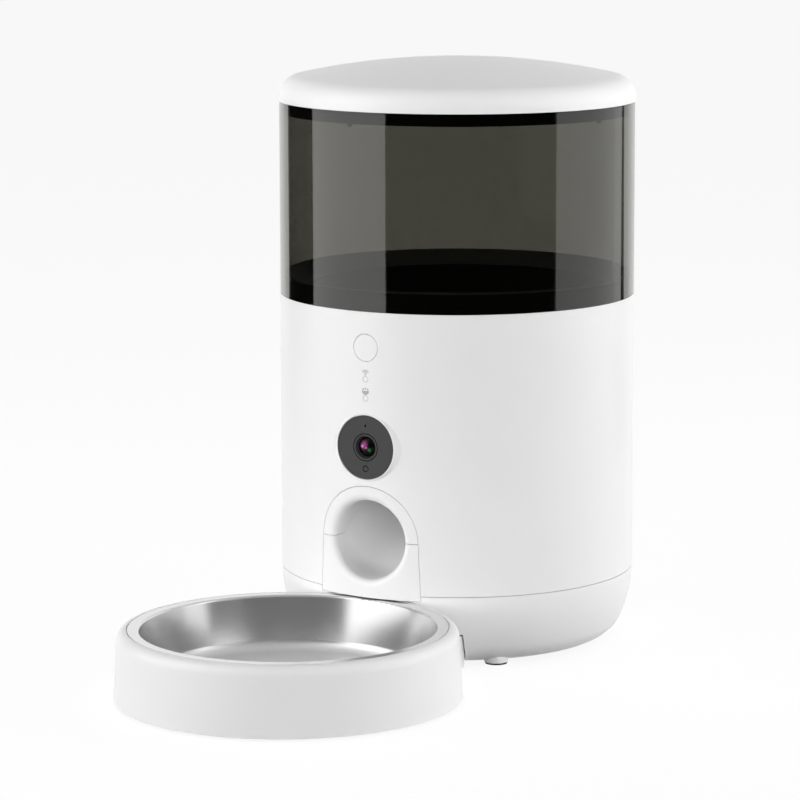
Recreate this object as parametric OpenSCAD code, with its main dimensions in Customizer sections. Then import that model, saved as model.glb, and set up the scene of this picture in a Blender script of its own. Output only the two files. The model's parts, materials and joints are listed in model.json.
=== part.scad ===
// Automatic pet feeder with a camera. A round body carries a smoked hopper with a rotor in its
// floor, the food drops down a chute at the front, and a steel bowl stands in a holder that
// docks in the base. Millimetres, Z up, front towards -Y, origin under the middle of the
// whole footprint. Every piece is drawn about the body's axis or the bowl's axis.

/* [Body] */
// Outer radius of the body and the hopper
tank_r = 97.5; // [94:0.5:120]
// Wall of the body
body_wall = 2.8; // [2:0.1:3.5]
// Height of the seam between base and body
seam_z = 40.7; // [40:0.1:50]
// Height of the body's top edge, where the hopper stands
body_top_z = 192.5; // [180:0.5:240]
// Radius of the gentle curve on the base's side
side_curve_r = 70; // [55:1:90]
// Radius of the base's bottom corner
base_corner_r = 18; // [12:0.5:20]
// Height of the base's underside above the ground
underside_z = 1.6; // [1:0.1:3]
// Wall of the base
base_wall = 2.6; // [2:0.1:3.2]
// Radius of a rubber foot
foot_r = 6; // [4:0.1:6.2]

/* [Hopper and lid] */
// Height of the smoked hopper
hopper_h = 105.5; // [60:0.5:160]
// Wall of the hopper
hopper_wall = 2.6; // [2:0.1:3]
// How far the lid stands out past the hopper
lid_overhang = 0.8; // [0:0.1:3]
// Height of the lid
lid_h = 22.8; // [19:0.1:30]
// Radius of the lid's rounded edge
lid_edge_r = 13; // [6:0.5:15]
// Radius of the lid's crown
lid_crown_r = 420; // [300:5:800]
// Wall of the lid
lid_wall = 2.4; // [1.8:0.1:3]
// Depth of the black plug ring below the hopper's edge
plug_h = 6.6; // [5:0.1:12]
// Radius of the desiccant tray
tray_r = 26; // [15:0.5:35]

/* [Rotor] */
// Outer radius of the rotor
rotor_r = 60; // [50:1:72]
// Height of the rotor
rotor_h = 20.4; // [12:0.1:26]
// Number of vanes
vanes = 6; // [4:1:8]
// Thickness of a vane
vane_t = 2.2; // [1.5:0.1:4]
// Radius of the drop hole in the hopper's floor
drop_hole_r = 18; // [14:0.5:18]
// Slope of the funnel in degrees
funnel_slope = 44; // [25:1:46]

/* [Chute] */
// Radius of the round outlet
outlet_r = 21.5; // [16:0.1:26]
// Height of the outlet's centre
outlet_z = 69; // [66:0.5:72]
// Rounding round the outlet
outlet_round = 3.5; // [1:0.1:4]
// Radius of the arch panel's top
arch_r = 29.4; // [28:0.1:34]
// How much wider the panel's foot is on each side
arch_spread = 1.4; // [0:0.1:3]
// Slope of the chute in degrees
chute_slope = 35; // [32:1:38]
// Wall of the chute
chute_wall = 2.2; // [1.6:0.1:2.6]

/* [Camera and button] */
// Height of the camera's centre
camera_z = 119.7; // [118:0.1:122]
// Radius of the camera's dark plate
camera_r = 17.2; // [14:0.1:18]
// Radius of the lens glass
lens_r = 5.3; // [3:0.1:6]
// Height of the button's centre
button_z = 173.3; // [170:0.1:176]
// Radius of the button
button_r = 7.2; // [5:0.1:8]
// Travel of the button
button_travel = 0.8; // [0.3:0.1:0.9]
// Height of the upper status light
upper_light_z = 156.4; // [155:0.1:158]
// Height of the lower status light
lower_light_z = 146.1; // [144:0.1:148]
// Radius of a status light
light_r = 1.35; // [1:0.05:2]

/* [Bowl and dock] */
// Distance from the body's front to the bowl's axis
bowl_offset = 77.8; // [70:0.1:95]
// Radius of the holder at its foot
holder_r = 90.6; // [80:0.1:95]
// Draft of the holder's side in degrees
holder_draft = 3; // [0:0.5:6]
// Height of the holder
holder_z = 37.5; // [30:0.1:37.5]
// Rounding of the holder's top edge
holder_round = 6; // [4:0.5:8]
// Wall of the holder
holder_wall = 2.4; // [1.8:0.1:3]
// Outer radius of the bowl's lip
lip_r = 83.2; // [69:0.1:84]
// Width of the bowl's lip
lip_w = 6.2; // [4:0.1:9]
// Height of the bowl's inner floor
bowl_floor_z = 8.5; // [6:0.5:14]
// Radius of the bowl's bottom corner
bowl_corner_r = 6.5; // [4:0.5:20]
// Draft of the bowl's side in degrees
bowl_draft = 12; // [4:0.5:20]
// Thickness of the bowl's steel
steel_t = 0.9; // [0.5:0.1:1.2]
// Width of the holder's tongue at its root
tongue_w = 99; // [60:1:100]
// Height of the tongue
tongue_z = 18.9; // [12:0.1:22]
// Depth of the dock behind the body's front
dock_depth = 45.5; // [30:0.5:46]

/* [Drive] */
// Module of the gear teeth
gear_m = 0.7; // [0.6:0.05:0.75]
// Teeth of each pinion
pinion_teeth = 10; // [8:1:12]
// Teeth of each wheel
wheel_teeth = 40; // [30:2:40]
// Radius of the motor
motor_r = 12; // [8:0.5:12]
// Height of the motor
motor_h = 30; // [20:1:34]

/* [Battery bay] */
// Number of cells side by side
cells = 3; // [2:1:3]
// Diameter of a cell
cell_d = 34.2; // [26.2:0.1:34.2]
// Length of a cell
cell_l = 61.5; // [50:0.1:61.5]

/* [Fits] */
// Visible seam between fixed shells
seam = 0.3; // [0.2:0.05:0.5]
// Clearance round pieces that lift or slide
slide_gap = 0.7; // [0.4:0.1:1]
// Radial clearance of a turning shaft
run_gap = 0.06; // [0.02:0.01:0.1]
// Radius of a self-tapping screw
screw_r = 1.3; // [1:0.05:1.5]

/* [Hidden] */
$fn = 128;
WHITE = "#f1f1ef";
BLACK = "#101010";
DARK = "#4a4a4a";
STEEL = "#b9bbbd";
BOARD = "#1d5a36";
far = 300;

// Radii inside the body and the hopper
body_in_r = tank_r - body_wall;
hopper_in_r = tank_r - hopper_wall;

// Footprint: the lid's back edge and the holder's front edge set the middle
bowl_reach = tank_r + bowl_offset;
lid_r = tank_r + lid_overhang;
unit_y = (bowl_reach + holder_r - lid_r) / 2;

// Base outline: a side arc and a corner arc that meet smoothly
pan_top_z = seam_z - seam / 2;
side_c = [tank_r - side_curve_r, seam_z + 0.3];
arc_gap = side_curve_r - base_corner_r;
corner_cz = underside_z + base_corner_r;
corner_cx = side_c.x + sqrt(arc_gap * arc_gap - (side_c.y - corner_cz) * (side_c.y - corner_cz));
arc_turn = asin((side_c.y - corner_cz) / arc_gap);

// Dock in the base and the hollow that the round holder stands in
tongue_half = tongue_w / 2;
dock_z = tongue_z + slide_gap;
dock_back_y = dock_depth - tank_r;
tongue_back_y = dock_back_y - 1.5;
nest_gap = 0.5;
nest_z = holder_z + nest_gap;
panel_t = 2.6;
panel_foot_z = nest_z;

// Feet and base screws, as distance from the axis and angles
foot_reach = tank_r - 19;
foot_turn = [-44.5, 44.5, 135.5, 224.5];
foot_boss_z = 1;
base_screw_reach = tank_r - 19.5;
base_screw_turn = [-15, 25, 80, 100, 155, 195];
base_head_z = 32;

// Battery bay and its door
door_t = 2.4;
door_top_z = underside_z + door_t;
bay_l = cells * cell_d + 3.8;
bay_w = cell_l + 5.5;
bay_top_z = door_top_z + cell_d + 1;
bay_wall = 2;
door_l = bay_l + 6;
door_w = bay_w + 5;
hinge_y = 1.2 - door_w / 2;
hinge_z = underside_z + door_t / 2;
hinge_pin_r = 0.7;
hinge_pin_l = 2.5;

// Hopper, its flange and funnel
hopper_z = body_top_z + 0.1;
hopper_top_z = hopper_z + hopper_h;
flange_z = hopper_z + 11.8;
throat_z = flange_z - 7.5;
well_r = rotor_r + 1;
throat_r = min(well_r + 20.5, hopper_in_r - 6);
shoulder = (flange_z - throat_z) / (hopper_in_r - throat_r);
collar_t = 1.3;
well_top_z = throat_z - (throat_r - well_r) * tan(funnel_slope);
well_floor_z = well_top_z - rotor_h - 3.1;
floor_t = 2.3;
skirt_r = body_in_r - 0.35;
skirt_z = body_top_z - 4.6;

// Deck below the hopper
deck_rim_z = skirt_z - 0.5;
deck_t = 2.4;
deck_rim_r = body_in_r - 0.4;
deck_flat_r = max(tank_r - 15.2, well_r + 11);
deck_well_r = well_r + 3.4;
deck_cone_z = well_top_z - 3.1;
deck_z = well_floor_z - floor_t - deck_t;
deck_under_z = deck_z - deck_t;
deck_post_reach = tank_r - 9;
deck_post_turn = [45, 135, 225, 315];

// Rotor drive: journal in the funnel's floor, hexagonal dog from below
rotor_z = well_floor_z + 0.5;
hub_r = 14;
journal_r = 8;
journal_z = deck_z + 0.8;
clip_z = well_floor_z - floor_t - 0.8;
dog_flats = 8;
dog_top_z = well_floor_z + 12.4;
stem_flats = 7;
baffle_z = rotor_z + rotor_h + 1;
baffle_t = 2;
drop_hole_y = -(rotor_r - drop_hole_r - 2);

// Gearbox under the deck
box_front_y = -17;
box_back_y = 50;
box_left_x = -24;
box_right_x = 34;
box_wall = 2;
cover_t = 2.4;
cover_z = deck_under_z - 5.1 - cover_t;
case_h = 26;
case_z = cover_z - case_h;
case_floor_z = case_z + 2.4;
box_posts = [[-20, -13], [30, -13], [-20, 46], [30, 46]];
pinion_r = gear_m * pinion_teeth / 2;
wheel_r = gear_m * wheel_teeth / 2;
axle_gap = pinion_r + wheel_r + 0.1;
second_axle = axle_gap * [cos(30), sin(30)];
first_axle = second_axle + axle_gap * [cos(120), sin(120)];
motor_axle = first_axle + axle_gap * [cos(150), sin(150)];
axle_r = 1.5;
first_z = case_floor_z + 2.6;
second_z = case_floor_z + 9.6;
output_z = case_floor_z + 16.6;
output_journal_r = 2.4;
wheel_h = 4.5;
pinion_h = 7;
tooth_gap = 0.2;

// Chute: outlet, slope and drop duct
duct_y = box_front_y - 1.3 - outlet_r - chute_wall;
elbow_y = 13.5 - tank_r;
slope_run = duct_y - elbow_y;
duct_z = outlet_z + slope_run * tan(chute_slope);
duct_top_z = deck_under_z - 0.2;
chute_out_r = outlet_r + chute_wall;
rim_step = 0.04;
slope_ear_at = 27;
collar_ear_x = chute_out_r + 5.3;
sensor_mid_z = duct_top_z - 22;
window_r = 2.2;

// Camera
bezel_y = -(tank_r + 0.5);
plate_y = -(tank_r + 0.2);
plate_t = 1.5;
seat_y = plate_y + plate_t + 0.1;
boss_back_y = 5 - tank_r;
boss_r = camera_r + 2.8;
lens_ring_r = lens_r + 1.8;
ring_groove = 0.5;
mic_z = camera_z + 11.7;
sensor_z = camera_z - 11.6;
sensor_r = 1.3;
camera_board_y = boss_back_y + 4.5;
camera_pitch = 11;

// Button and control board
board_y = 13 - tank_r;
board_t = 1.5;
button_back_y = 3.5 - tank_r;
plunger_y = 8.5 - tank_r;
switch_front_y = 9.5 - tank_r;
control_low_z = 140.5;
control_h = 40.5;
control_posts = [[-8.5, 151], [8.5, 151]];
light_z = [upper_light_z, lower_light_z];

// Main board on the bay's roof
roof_z = bay_top_z + bay_wall;
main_z = roof_z + 6.8;
main_size = [76, 44, 1.6];
main_mid_y = 8;
main_posts = [[-33, -9], [33, -9], [-33, 25], [33, 25]];

// Speaker at the back, power inlet low at the back
speaker_z = 95;
speaker_r = 20.5;
speaker_y = tank_r - 6;
grille_pitch = 4.5;
grille_r = 1.1;
jack_z = 20;
jack_face_y = tank_r - 6.5;
jack_r = 2.75;

// Lid levels
lid_z = hopper_top_z + 0.2;
lid_top_z = lid_z + lid_h;
crown_c_z = lid_top_z - lid_crown_r;
lid_edge_x = lid_r - lid_edge_r;
crown_gap = lid_crown_r - lid_edge_r;
lid_edge_z = crown_c_z + sqrt(crown_gap * crown_gap - lid_edge_x * lid_edge_x);
plug_plate_z = lid_z + 0.1;
plug_plate_t = 2;
plug_plate_rise = plug_plate_z + plug_plate_t - lid_edge_z;
plug_plate_r = min(
  lid_r - lid_wall - 0.3,
  lid_edge_x + sqrt(pow(lid_edge_r - lid_wall, 2) - pow(plug_plate_rise, 2)) - 0.2
);
plug_r = hopper_in_r - 0.5;
plug_z = hopper_top_z - plug_h;
rib_turn = [-7, 83, 173, 263];
tray_z = plug_z - 4;
cover_low_z = tray_z - 2;
twist = 30;

// Bowl holder
holder_foot_z = 0.8;
holder_edge_z = holder_z - holder_round;
draft_in = (holder_edge_z - holder_foot_z) * tan(holder_draft);
holder_edge_x = holder_r - draft_in - holder_round / cos(holder_draft);
rebate_r = lip_r + 0.5;
rebate_z = holder_z - 1.3;
bowl_in_r = lip_r - lip_w;
skirt_in_r = bowl_in_r + steel_t + 0.7;
pad_turn = [-120, -60, 25, 155];
pad_reach = holder_r - 7;
pad_r = 4;

// Placing helpers

module on_body() {
  translate([0, unit_y, 0])
    children();
}

module on_bowl() {
  translate([0, unit_y - bowl_reach, 0])
    children();
}

// A solid of revolution from points of [radius, height]
module turned(points) {
  rotate_extrude()
    polygon(points);
}

module ring(r_out, r_in, z, h) {
  translate([0, 0, z])
    difference() {
      cylinder(r = r_out, h = h);
      translate([0, 0, -1])
        cylinder(r = r_in, h = h + 2);
    }
}

// A rod along Y between two depths, at a place on the front
module rod_y(r, y1, y2, x = 0, z = 0) {
  translate([x, y2, z])
    rotate([90, 0, 0])
      cylinder(r = r, h = y2 - y1);
}

// A flat shape in X and Z, pushed from depth y1 back to y2
module prism_y(y1, y2) {
  translate([0, y2, 0])
    rotate([90, 0, 0])
      linear_extrude(y2 - y1)
        children();
}

module around(turns, reach) {
  for (a = turns)
    rotate([0, 0, a])
      translate([reach, 0, 0])
        children();
}

// A screw with its head's underside at z = 0 and its shank below
module screw(r, l, head_r, head_h) {
  cylinder(r = head_r, h = head_h);
  translate([0, 0, -l])
    cylinder(r = r, h = l);
}

module hex_bar(flats, z, h) {
  translate([0, 0, z])
    cylinder(r = flats / 2 / cos(30), h = h, $fn = 6);
}

// Lid

// Outline of the lid, moved inwards by inset
module lid_outline(inset, low_z) {
  edge_x = lid_edge_x * (lid_crown_r - inset) / crown_gap;
  intersection() {
    translate([0, low_z])
      square([lid_r + 1, lid_h + 10]);
    union() {
      square([lid_r - inset, lid_edge_z]);
      translate([lid_edge_x, lid_edge_z])
        circle(lid_edge_r - inset);
      intersection() {
        translate([0, crown_c_z])
          circle(lid_crown_r - inset, $fn = 720);
        translate([0, low_z])
          square([edge_x, lid_h + 1]);
      }
    }
  }
}

module lid_shell() {
  post_reach = 60;
  color(WHITE) on_body() {
    rotate_extrude()
      difference() {
        lid_outline(0, lid_z);
        lid_outline(lid_wall, lid_z - 1);
      }
    intersection() {
      around([45, 135, 225, 315], post_reach)
        translate([0, 0, plug_plate_z + plug_plate_t + 0.1])
          cylinder(r = 3.5, h = lid_h);
      rotate_extrude()
        lid_outline(lid_wall / 2, lid_z);
    }
  }
}

module lid_plug() {
  ring_t = 2.2;
  rib = 1.6;
  color(BLACK) on_body() difference() {
    union() {
      ring(plug_plate_r, tray_r + 0.2, plug_plate_z, plug_plate_t);
      ring(plug_r, plug_r - ring_t, plug_z, plug_plate_z - plug_z);
      for (a = rib_turn)
        rotate([0, 0, a - 90])
          translate([plug_r - ring_t, -rib / 2, plug_z - rib])
            cube([ring_t - 0.4, rib, rib + 0.5]);
    }
    ring(plug_r + 1, plug_r - 1, plug_z + 2.4, 2.4);
  }
}

module lid_seal() {
  color("#2a2a2a") on_body()
    ring(hopper_in_r - 0.3, plug_r - 0.95, plug_z + 2.45, 2.3);
}

// The tray opens downwards and hangs in the plug plate by its flange
module desiccant_tray() {
  wall = 1.8;
  top_z = plug_plate_z + plug_plate_t;
  color(WHITE) on_body() {
    turned([
      [0, top_z + 1.6], [tray_r + 3, top_z + 1.6], [tray_r + 3, top_z + 0.05],
      [tray_r, top_z + 0.05], [tray_r, tray_z], [tray_r - wall, tray_z],
      [tray_r - wall, top_z], [0, top_z]
    ]);
    for (a = [0, 120, 240])
      rotate([0, 0, a])
        translate([tray_r - 0.5, -1.5, tray_z + 1.4])
          cube([1.7, 3, 1.2]);
  }
}

// The cover's windows ride on the tray's three studs
module desiccant_cover() {
  wall = 1.6;
  in_r = tray_r + 0.3;
  window_low_z = tray_z + 1.1;
  color(WHITE) on_body() difference() {
    turned([
      [0, cover_low_z], [in_r + wall, cover_low_z], [in_r + wall, tray_z + 4.4],
      [in_r, tray_z + 4.4], [in_r, tray_z - 0.4], [0, tray_z - 0.4]
    ]);
    for (a = [0, 120, 240])
      rotate([0, 0, a - twist - 5])
        translate([0, 0, window_low_z])
          rotate_extrude(angle = twist + 10)
            translate([in_r - 0.5, 0])
              square([wall + 1, 1.8]);
    for (a = [0:45:315])
      rotate([0, 0, a])
        translate([8, -1, cover_low_z - 1])
          cube([12, 2, 4]);
  }
}

// Hopper

module hopper_shell() {
  color([0.26, 0.26, 0.22, 0.55]) on_body()
    ring(tank_r, hopper_in_r, hopper_z, hopper_h);
}

// Height of the shoulder between the smoked wall and the funnel, at radius r
function shoulder_z(r) = throat_z + (r - throat_r) * shoulder;

// Shoulder, funnel and rotor well in one moulding, with a skirt that locates it in the body
module hopper_floor() {
  flange_r = hopper_in_r - 0.05;
  step_r = throat_r + 0.05;
  seat = collar_t + 0.05;
  under = collar_t + 2.4;
  skirt_in = hopper_in_r - 2.3;
  slope = tan(funnel_slope);
  spout_z = deck_z + 0.5;
  lug_turn = [-127, -53];
  color(BLACK) on_body() difference() {
    union() {
      turned([
        [flange_r, shoulder_z(flange_r) - seat], [step_r, shoulder_z(step_r) - seat],
        [step_r, throat_z], [throat_r, throat_z],
        [well_r, well_top_z], [well_r, well_floor_z], [0, well_floor_z],
        [0, well_floor_z - floor_t], [well_r + 2.2, well_floor_z - floor_t],
        [well_r + 2.2, well_top_z + 2.2 * slope - 2.2 / cos(funnel_slope)],
        [throat_r, throat_z - under], [skirt_in, shoulder_z(skirt_in) - under],
        [skirt_in, skirt_z], [skirt_r, skirt_z], [skirt_r, hopper_z], [flange_r, hopper_z]
      ]);
      translate([0, drop_hole_y, spout_z])
        cylinder(r = drop_hole_r + 1.6, h = well_floor_z - spout_z - 0.2);
    }
    translate([0, drop_hole_y, spout_z - 1])
      cylinder(r = drop_hole_r, h = 10);
    translate([0, 0, well_floor_z - 10])
      cylinder(r = journal_r + run_gap, h = 20);
    for (a = lug_turn)
      rotate([0, 0, a])
        translate([well_r - 1, -3.2, baffle_z - 0.2])
          cube([2.6, 6.4, baffle_t + 0.4]);
  }
}

// Grey collar that lies on the shoulder and seals it against the smoked wall
module floor_gasket() {
  out_r = hopper_in_r - 0.05;
  in_r = throat_r + 0.1;
  color("#8a8a88") on_body()
    turned([
      [out_r, shoulder_z(out_r)], [in_r, shoulder_z(in_r)],
      [in_r, shoulder_z(in_r) - collar_t], [out_r, shoulder_z(out_r) - collar_t]
    ]);
}

// Covers the pocket over the drop hole, and clips into two windows of the well
module strike_baffle() {
  lug_turn = [-127, -53];
  color(BLACK) on_body() {
    intersection() {
      ring(well_r - 0.15, hub_r + 2, baffle_z, baffle_t);
      translate([0, 0, baffle_z])
        linear_extrude(baffle_t)
          polygon([
            [0, 0], 2 * well_r * [cos(-138), sin(-138)], [0, -2 * well_r],
            2 * well_r * [cos(-42), sin(-42)]
          ]);
    }
    for (a = lug_turn)
      rotate([0, 0, a])
        translate([well_r - 2, -3, baffle_z])
          cube([3.2, 6, baffle_t]);
  }
}

// Hub with vanes; its journal turns in the funnel's floor and takes the dog from below
module rotor() {
  color("#e4e4e0") on_body() difference() {
    union() {
      translate([0, 0, rotor_z])
        cylinder(r = hub_r, h = rotor_h);
      translate([0, 0, journal_z])
        cylinder(r = journal_r, h = rotor_z - journal_z + 1);
      for (i = [0:vanes - 1])
        rotate([0, 0, -90 + 180 / vanes + i * 360 / vanes])
          translate([hub_r - 2, -vane_t / 2, rotor_z])
            cube([rotor_r - hub_r + 2, vane_t, rotor_h]);
    }
    hex_bar(dog_flats + 0.6, journal_z - 1, dog_top_z + 3 - journal_z);
    hex_bar(stem_flats + 0.1, rotor_z + rotor_h - 6, 7);
    ring(journal_r + 1, journal_r - 1, clip_z - 0.05, 0.7);
  }
}

// Stirs the food above the baffle; its stem is keyed into the hub
module agitator() {
  low_z = baffle_z + baffle_t + 1.5;
  arm_h = 3.2;
  arm_l = min(42, rotor_r - 12);
  color("#e4e4e0") on_body() {
    hex_bar(stem_flats, rotor_z + rotor_h - 5.8, low_z - rotor_z - rotor_h + 6.8);
    translate([0, 0, rotor_z + rotor_h + 0.1])
      cylinder(r = 9, h = low_z - rotor_z - rotor_h);
    turned([
      [0, low_z], [12, low_z], [12, low_z + 2.4], [9, low_z + 5], [0, low_z + 6.4]
    ]);
    for (a = [0, 180])
      rotate([0, 0, a])
        translate([0, -3, low_z])
          cube([arm_l, 6, arm_h]);
    for (a = [0, 180])
      rotate([0, 0, a])
        translate([arm_l, 0, low_z])
          cylinder(r = 3, h = arm_h);
  }
}

module rotor_clip() {
  color(STEEL) on_body() difference() {
    ring(journal_r + 2.4, journal_r - 0.95, clip_z, 0.6);
    translate([0, -1.5, clip_z - 1])
      cube([20, 3, 3]);
  }
}

// Body

// Outline of the arch panel in X and Z, grown on all sides
module arch_outline(grow) {
  foot_x = arch_r + arch_spread + grow;
  translate([0, outlet_z])
    circle(arch_r + grow);
  polygon([
    [-arch_r - grow, outlet_z], [arch_r + grow, outlet_z],
    [foot_x, panel_foot_z - grow], [-foot_x, panel_foot_z - grow]
  ]);
}

// Tube behind the dark plate, and a rim in front that flares out into the body's face
module camera_boss() {
  rim_r = camera_r + 1.3;
  flare_r = 6.6;
  intersection() {
    rod_y(boss_r, bezel_y, boss_back_y, z = camera_z);
    cylinder(r = tank_r, h = far);
  }
  translate([0, bezel_y, camera_z])
    rotate([-90, 0, 0])
      rotate_extrude()
        difference() {
          square([rim_r + 3.8, 3.7]);
          translate([rim_r, -1])
            square([10, 1.5]);
          translate([rim_r + 5.16, -3.25])
            circle(flare_r);
        }
}

module speaker_ring() {
  intersection() {
    difference() {
      rod_y(speaker_r + 2.7, speaker_y - 6, tank_r, z = speaker_z);
      rod_y(speaker_r + 0.3, speaker_y - 7, speaker_y + 0.4, z = speaker_z);
    }
    cylinder(r = tank_r - 1, h = far);
    difference() {
      cube([2 * far, 2 * far, 2 * far], center = true);
      intersection() {
        rod_y(speaker_r + 0.3, 0, tank_r, z = speaker_z);
        cylinder(r = body_in_r, h = far);
      }
    }
  }
}

// One hole at the middle, then rings of 6 and 12
module grille_holes() {
  rod_y(grille_r, speaker_y, tank_r + 2, z = speaker_z);
  for (k = [1, 2])
    for (i = [0:6 * k - 1])
      rod_y(grille_r, speaker_y, tank_r + 2, k * grille_pitch * cos(i * 60 / k),
        speaker_z + k * grille_pitch * sin(i * 60 / k));
}

module body_posts() {
  post_r = 4;
  deck_post_z = deck_rim_z - deck_t;
  around(deck_post_turn, deck_post_reach)
    translate([0, 0, deck_post_z - 16]) {
      cylinder(r = post_r, h = 16);
      translate([0, -2.5, 0])
        cube([body_in_r - deck_post_reach + 1, 5, 16]);
    }
  around(base_screw_turn, base_screw_reach) {
    translate([0, 0, seam_z + seam / 2])
      cylinder(r = post_r, h = 19);
    translate([0, -1, seam_z + 6])
      cube([body_in_r - base_screw_reach + 1, 2, 13]);
  }
  intersection() {
    for (p = control_posts)
      rod_y(2.6, -tank_r, board_y, p.x, p.y);
    cylinder(r = tank_r - 1, h = far);
  }
}

module body_shell() {
  low_z = seam_z + seam / 2;
  color(WHITE) on_body() difference() {
    union() {
      ring(tank_r, body_in_r, low_z, body_top_z - low_z);
      camera_boss();
      speaker_ring();
      body_posts();
    }
    intersection() {
      prism_y(-far, -60)
        arch_outline(seam);
      ring(far, body_in_r - 1, 0, far);
    }
    rod_y(camera_r + 0.25, -far, seat_y, z = camera_z);
    rod_y(camera_r - 2.2, -far, -70, z = camera_z);
    rod_y(button_r + 0.3, -far, -70, z = button_z);
    for (z = light_z)
      rod_y(light_r + 0.2, -far, board_y, z = z);
    grille_holes();
    around(deck_post_turn, deck_post_reach)
      translate([0, 0, deck_rim_z - deck_t - 14])
        cylinder(r = screw_r + 0.05, h = 20);
    around(base_screw_turn, base_screw_reach)
      translate([0, 0, seam_z - 1])
        cylinder(r = screw_r + 0.05, h = 16);
    for (p = control_posts)
      rod_y(0.95, board_y - 5, board_y + 1, p.x, p.y);
  }
}

// Dish that closes the body's top, with the drop hole, the drive hole and the gearbox bosses
module deck() {
  cone_in = [deck_well_r + deck_t, deck_cone_z - 1.6];
  color(WHITE) on_body() difference() {
    union() {
      turned([
        [deck_rim_r, deck_rim_z], [deck_flat_r, deck_rim_z], [deck_well_r, deck_cone_z],
        [deck_well_r, deck_z], [0, deck_z], [0, deck_under_z],
        [deck_well_r + deck_t, deck_under_z], cone_in,
        [deck_flat_r + 1.6, deck_rim_z - deck_t], [deck_rim_r, deck_rim_z - deck_t]
      ]);
      for (p = box_posts)
        translate([p.x, p.y, cover_z + cover_t])
          cylinder(r = 3.4, h = deck_z - cover_z - cover_t - 0.5);
    }
    translate([0, drop_hole_y, deck_under_z - 1])
      cylinder(r = drop_hole_r + 2, h = 9);
    translate([0, 0, deck_under_z - 1])
      cylinder(r = 12, h = 9);
    around(deck_post_turn, deck_post_reach)
      translate([0, 0, deck_rim_z - 5])
        cylinder(r = screw_r + 0.2, h = 10);
    for (p = box_posts)
      translate([p.x, p.y, cover_z])
        cylinder(r = screw_r + 0.05, h = deck_z - cover_z - 1);
    for (x = [-collar_ear_x, collar_ear_x])
      translate([x, duct_y, deck_under_z - 1])
        cylinder(r = screw_r, h = 9);
  }
}

module deck_screws() {
  color(STEEL) on_body()
    around(deck_post_turn, deck_post_reach)
      translate([0, 0, deck_rim_z])
        screw(screw_r, 12, 3, 1.8);
}

// Chute

// The way the food takes: outlet, elbow, slope, elbow and drop duct, as one solid of radius r
module chute_way(r, front_y, top_z) {
  slope_l = slope_run / cos(chute_slope);
  rod_y(r, front_y, elbow_y, z = outlet_z);
  translate([0, elbow_y, outlet_z]) {
    sphere(r);
    rotate([chute_slope - 90, 0, 0])
      cylinder(r = r, h = slope_l);
  }
  translate([0, duct_y, duct_z]) {
    sphere(r);
    cylinder(r = r, h = top_z - duct_z);
  }
}

// Points of the rounding between the outlet's bore and the curved panel: at each angle a
// quarter circle from the bore out to a hair below the panel's surface, then a rim clear of it
function round_point(turn, k, steps) =
  let (
    arc = min(k, steps) * 90 / steps,
    r = outlet_r + 0.05 + outlet_round * (1 - cos(arc)),
    x = r * cos(turn),
    depth = outlet_round * (1 - sin(arc)) + rim_step - (k > steps ? 4 : 0)
  )
  [x, depth - sqrt(tank_r * tank_r - x * x), outlet_z + r * sin(turn)];

module outlet_rounding() {
  n = 48;
  steps = 5;
  points = [
    for (k = [0:steps + 1])
      for (i = [0:n - 1])
        round_point(i * 360 / n, k, steps),
    [0, outlet_round - tank_r, outlet_z],
    [0, -tank_r - 4, outlet_z]
  ];
  side = [
    for (k = [0:steps])
      for (i = [0:n - 1])
        let (a = k * n + i, b = k * n + (i + 1) % n)
        each [[a, a + n, b], [b, a + n, b + n]]
  ];
  deep = [for (i = [0:n - 1]) [len(points) - 2, i, (i + 1) % n]];
  top = (steps + 1) * n;
  outer = [for (i = [0:n - 1]) [len(points) - 1, top + (i + 1) % n, top + i]];
  polyhedron(points, concat(side, deep, outer));
}

// Both halves before they are parted, with the arch panel on the front
module chute_whole() {
  difference() {
    union() {
      intersection() {
        prism_y(-tank_r - 1, -60)
          arch_outline(0);
        ring(tank_r, tank_r - panel_t, 0, far);
      }
      intersection() {
        chute_way(chute_out_r, -tank_r, duct_top_z);
        cylinder(r = tank_r - 1, h = far);
      }
    }
    chute_way(outlet_r, -tank_r - 5, duct_top_z + 1);
    outlet_rounding();
  }
}

// Everything above (side = 1) or below (side = -1) the bent parting plane
module parting(side) {
  lift = side * seam / 2;
  run = 200;
  edge = side * far;
  rotate([90, 0, 90])
    translate([0, 0, -60])
      linear_extrude(120)
        polygon([
          [-tank_r - 10, outlet_z + lift], [elbow_y, outlet_z + lift],
          [elbow_y + run, outlet_z + lift + run * tan(chute_slope)],
          [elbow_y + run, outlet_z + edge], [-tank_r - 10, outlet_z + edge]
        ]);
}

// Places children on the parting plane of the slope, at both sides of the tube
module at_slope_ears() {
  for (x = [-1, 1])
    translate([0, elbow_y + slope_ear_at * cos(chute_slope), outlet_z + slope_ear_at * sin(chute_slope)])
      rotate([chute_slope, 0, 0])
        translate([x * (chute_out_r + 3.3), 0, 0])
          children();
}

module chute_upper() {
  color(WHITE) on_body() difference() {
    union() {
      intersection() {
        chute_whole();
        parting(1);
      }
      at_slope_ears()
        translate([-4.2, -4, seam])
          cube([8.4, 8, 3]);
      difference() {
        translate([-collar_ear_x - 4, duct_y - 4, duct_top_z - 2.2])
          cube([2 * collar_ear_x + 8, 8, 2.2]);
        translate([0, duct_y, duct_top_z - 5])
          cylinder(r = outlet_r + 0.5, h = 8);
      }
    }
    at_slope_ears()
      translate([0, 0, -5])
        cylinder(r = screw_r + 0.1, h = 15);
    for (x = [-collar_ear_x, collar_ear_x])
      translate([x, duct_y, duct_top_z - 5])
        cylinder(r = screw_r + 0.1, h = 8);
    sensor_windows();
    slope_bore();
  }
}

// Clears the slope's bore where the ears reach in
module slope_bore() {
  chute_way(outlet_r, elbow_y - 1, duct_top_z + 1);
}

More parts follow.
